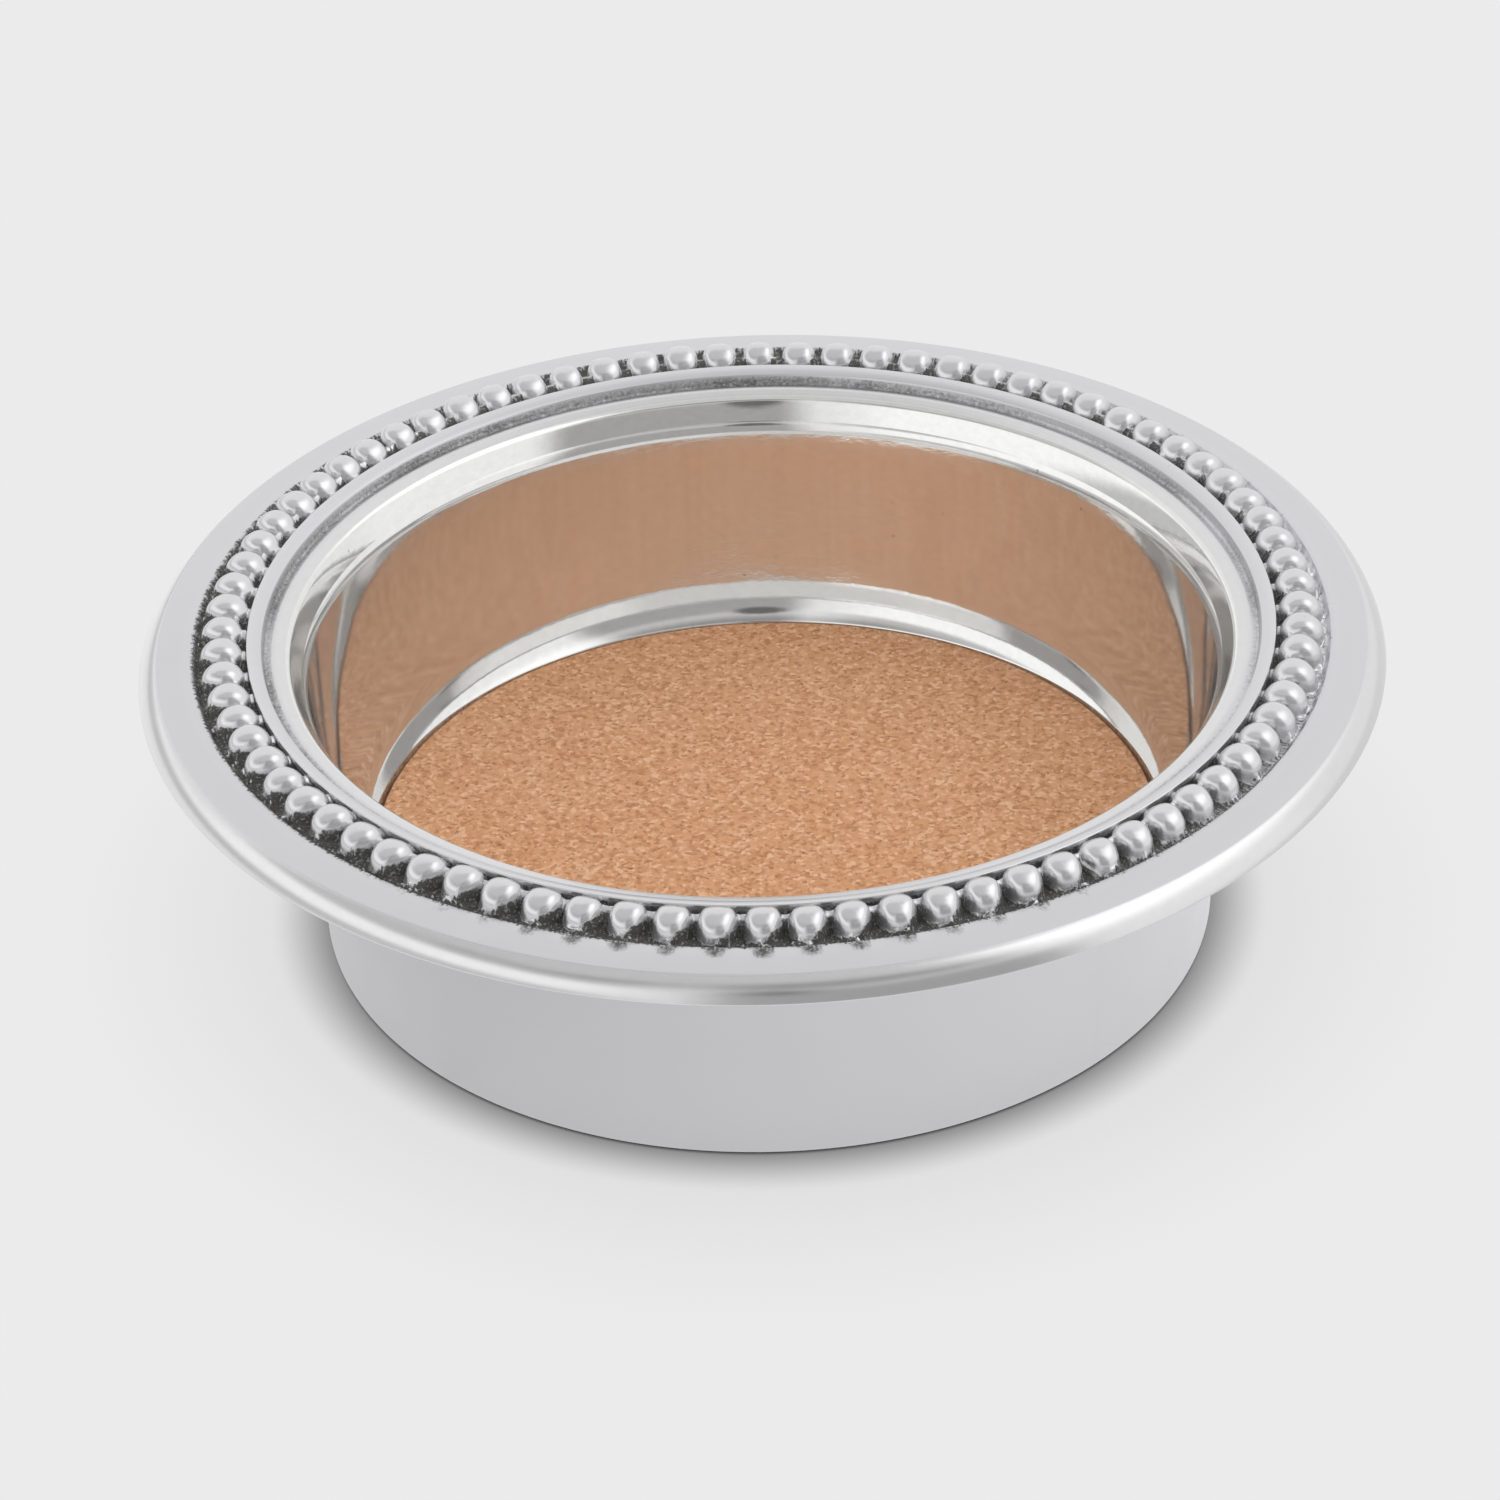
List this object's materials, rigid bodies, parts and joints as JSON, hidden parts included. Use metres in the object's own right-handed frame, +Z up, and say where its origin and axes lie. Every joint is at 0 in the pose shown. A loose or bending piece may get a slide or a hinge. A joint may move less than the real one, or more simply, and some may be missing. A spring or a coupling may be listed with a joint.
{
  "type": "wine bottle coaster",
  "caption": "Round cast aluminium wine bottle coaster with a tapered bowl, rolled lip, beaded flange and a cork liner bonded to its floor.",
  "frame": {"origin": "centre of the foot, on the surface that the coaster stands on", "axes": "+Z up along the axis of the bowl, X and Y in the table"},
  "size_m": [0.127, 0.127, 0.0351],
  "materials": {
    "cast_aluminium": "sand cast, satin outside, polished lip, edge, beads and inner wall, dark oxide left in the bead channel and groove",
    "glue_film": "thin dried contact glue",
    "cork": "fine agglomerate cork, sanded, uncoated"
  },
  "bodies": {
    "root": {"cast_body": "cast_aluminium", "adhesive_disc": "glue_film", "cork_liner": "cork"}
  },
  "joints": []
}
